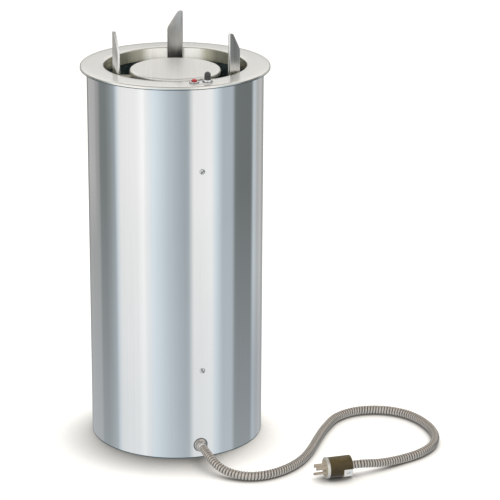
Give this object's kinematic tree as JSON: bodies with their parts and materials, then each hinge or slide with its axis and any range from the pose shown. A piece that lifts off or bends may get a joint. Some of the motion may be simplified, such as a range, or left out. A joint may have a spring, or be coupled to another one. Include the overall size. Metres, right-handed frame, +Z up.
{
  "type": "drop-in heated plate dispenser",
  "caption": "Drop-in heated plate dispenser: flanged steel tube with a sprung plate platform, turning guides, heating element, rim switch and lamp, and a conduit lead with plug.",
  "frame": {"origin": "centre of the shell at its lower edge, on the ground", "axes": "+Z up along the tube; -Y is the front, where the picture is taken from; the controls, shell screws and conduit exit lie about 17 degrees towards +X of the front"},
  "size_m": [0.6317, 0.4207, 0.74],
  "materials": {
    "satin_steel": "brushed stainless sheet, soft vertical reflections",
    "flange_steel": "fine satin stainless, pale and warm",
    "guide_steel": "brushed stainless bar with polished edges",
    "galvanised": "zinc-coated sheet",
    "dark_steel": "heat-darkened perforated steel",
    "element_sheath": "heat-dulled alloy sheath",
    "rod_steel": "drawn bright steel",
    "screw_steel": "bright plated steel",
    "spring_steel": "drawn spring wire",
    "clamp_steel": "plated strip",
    "chrome": "bright plating",
    "conduit_steel": "flexible metal conduit, satin ribs",
    "contact_brass": "bright brass",
    "washer_brass": "dull brass",
    "red_lens": "clear red moulding",
    "black_plastic": "black moulding",
    "brown_plastic": "dark brown moulding",
    "cream_plastic": "cream moulding",
    "ceramic": null,
    "nylon": "natural nylon",
    "buffer_rubber": "black rubber",
    "boot_rubber": "dark grey rubber",
    "wire_sleeve": "silicone-sleeved wire"
  },
  "bodies": {
    "casing": {"outer_shell": "satin_steel", "top_flange": "flange_steel", "well_liner": "galvanised", "well_floor": "galvanised", "base_pan": "galvanised", "spring_hanger_ring": "galvanised", "liner_stays": "galvanised", "heater_element": "element_sheath", "heater_clips": "galvanised", "heater_guard": "dark_steel", "limit_thermostat": "black_plastic", "terminal_block": "ceramic", "wiring_channel": "galvanised", "channel_screws": "screw_steel", "channel_nuts": "screw_steel", "wire_harness": "wire_sleeve", "control_plate": "flange_steel", "lamp_bezel": "chrome", "lamp_lens": "red_lens", "lamp_body": "black_plastic", "switch_body": "black_plastic", "switch_ring_nut": "chrome", "guide_rods": "rod_steel", "guide_brackets": "galvanised", "guide_rest_pads": "buffer_rubber", "friction_washers": "washer_brass", "top_stops": "buffer_rubber", "lower_buffers": "buffer_rubber", "lift_spring_1": "spring_steel", "lift_spring_2": "spring_steel", "lift_spring_3": "spring_steel", "conduit_gland": "chrome", "gland_locknut": "screw_steel", "power_conduit": "conduit_steel", "plug_body": "brown_plastic", "plug_face": "cream_plastic", "plug_blades": "contact_brass", "plug_ground_pin": "contact_brass", "plug_clamp": "clamp_steel", "plug_screws": "screw_steel"},
    "carrier": {"platform": "flange_steel", "carrier_posts": "rod_steel", "upper_spider": "galvanised", "spider_pads": "nylon", "lower_spider": "galvanised", "carrier_shoes": "nylon", "carrier_screws": "screw_steel"},
    "guide_rear": {"rear_guide": "guide_steel"},
    "guide_left": {"left_guide": "guide_steel"},
    "guide_right": {"right_guide": "guide_steel"},
    "toggle": {"toggle_lever": "rod_steel", "toggle_boot": "boot_rubber"}
  },
  "joints": [
    {"name": "carrier_lift", "type": "slide", "parent": "casing", "child": "carrier", "axis": [0, 0, -1], "range_m": [0, 0.4], "stiffness_N_per_m": 420, "springref_m": -0.06, "deforming": ["lift_spring_1", "lift_spring_2", "lift_spring_3"]},
    {"name": "rear_guide_turn", "type": "hinge", "parent": "casing", "child": "guide_rear", "pos_m": [0.01137, 0.11319, 0.3], "axis": [0, 0, 1], "range_deg": [0, 95]},
    {"name": "left_guide_turn", "type": "hinge", "parent": "casing", "child": "guide_left", "pos_m": [-0.10372, -0.04675, 0.3], "axis": [0, 0, 1], "range_deg": [0, 95]},
    {"name": "right_guide_turn", "type": "hinge", "parent": "casing", "child": "guide_right", "pos_m": [0.09234, -0.06645, 0.3], "axis": [0, 0, 1], "range_deg": [0, 95]},
    {"name": "switch_tilt", "type": "hinge", "parent": "casing", "child": "toggle", "pos_m": [0.05377, -0.13001, 0.6762], "axis": [0.9527, 0.304, 0], "range_deg": [-12, 12]}
  ]
}
